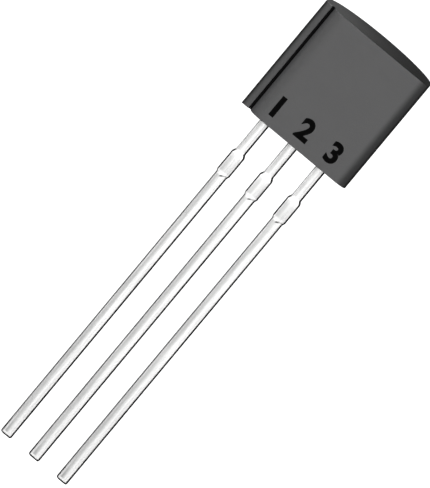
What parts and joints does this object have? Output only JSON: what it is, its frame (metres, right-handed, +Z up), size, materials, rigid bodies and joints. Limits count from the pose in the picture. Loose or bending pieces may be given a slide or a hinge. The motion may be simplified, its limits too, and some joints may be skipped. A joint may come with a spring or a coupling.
{
  "type": "transistor",
  "caption": "Small moulded transistor with a flat front, a round back and straight stamped leads, lying flat side up.",
  "frame": {"origin": "bottom centre of the bounding box of the part as it lies at rest", "axes": "+Z up from the table, +Y from the lead tips towards the case, +X across the leads from lead 1 to lead 3"},
  "size_m": [0.0048, 0.0192, 0.0042],
  "materials": {
    "epoxy": "matte",
    "tinned_lead": "satin",
    "solder": "satin",
    "silicon": "polished",
    "gold_wire": "polished"
  },
  "bodies": {
    "root": {"case": "epoxy", "emitter_lead": "tinned_lead", "base_lead": "tinned_lead", "collector_lead": "tinned_lead", "die_attach": "solder", "die": "silicon", "base_wire": "gold_wire", "emitter_wire": "gold_wire"}
  },
  "joints": []
}
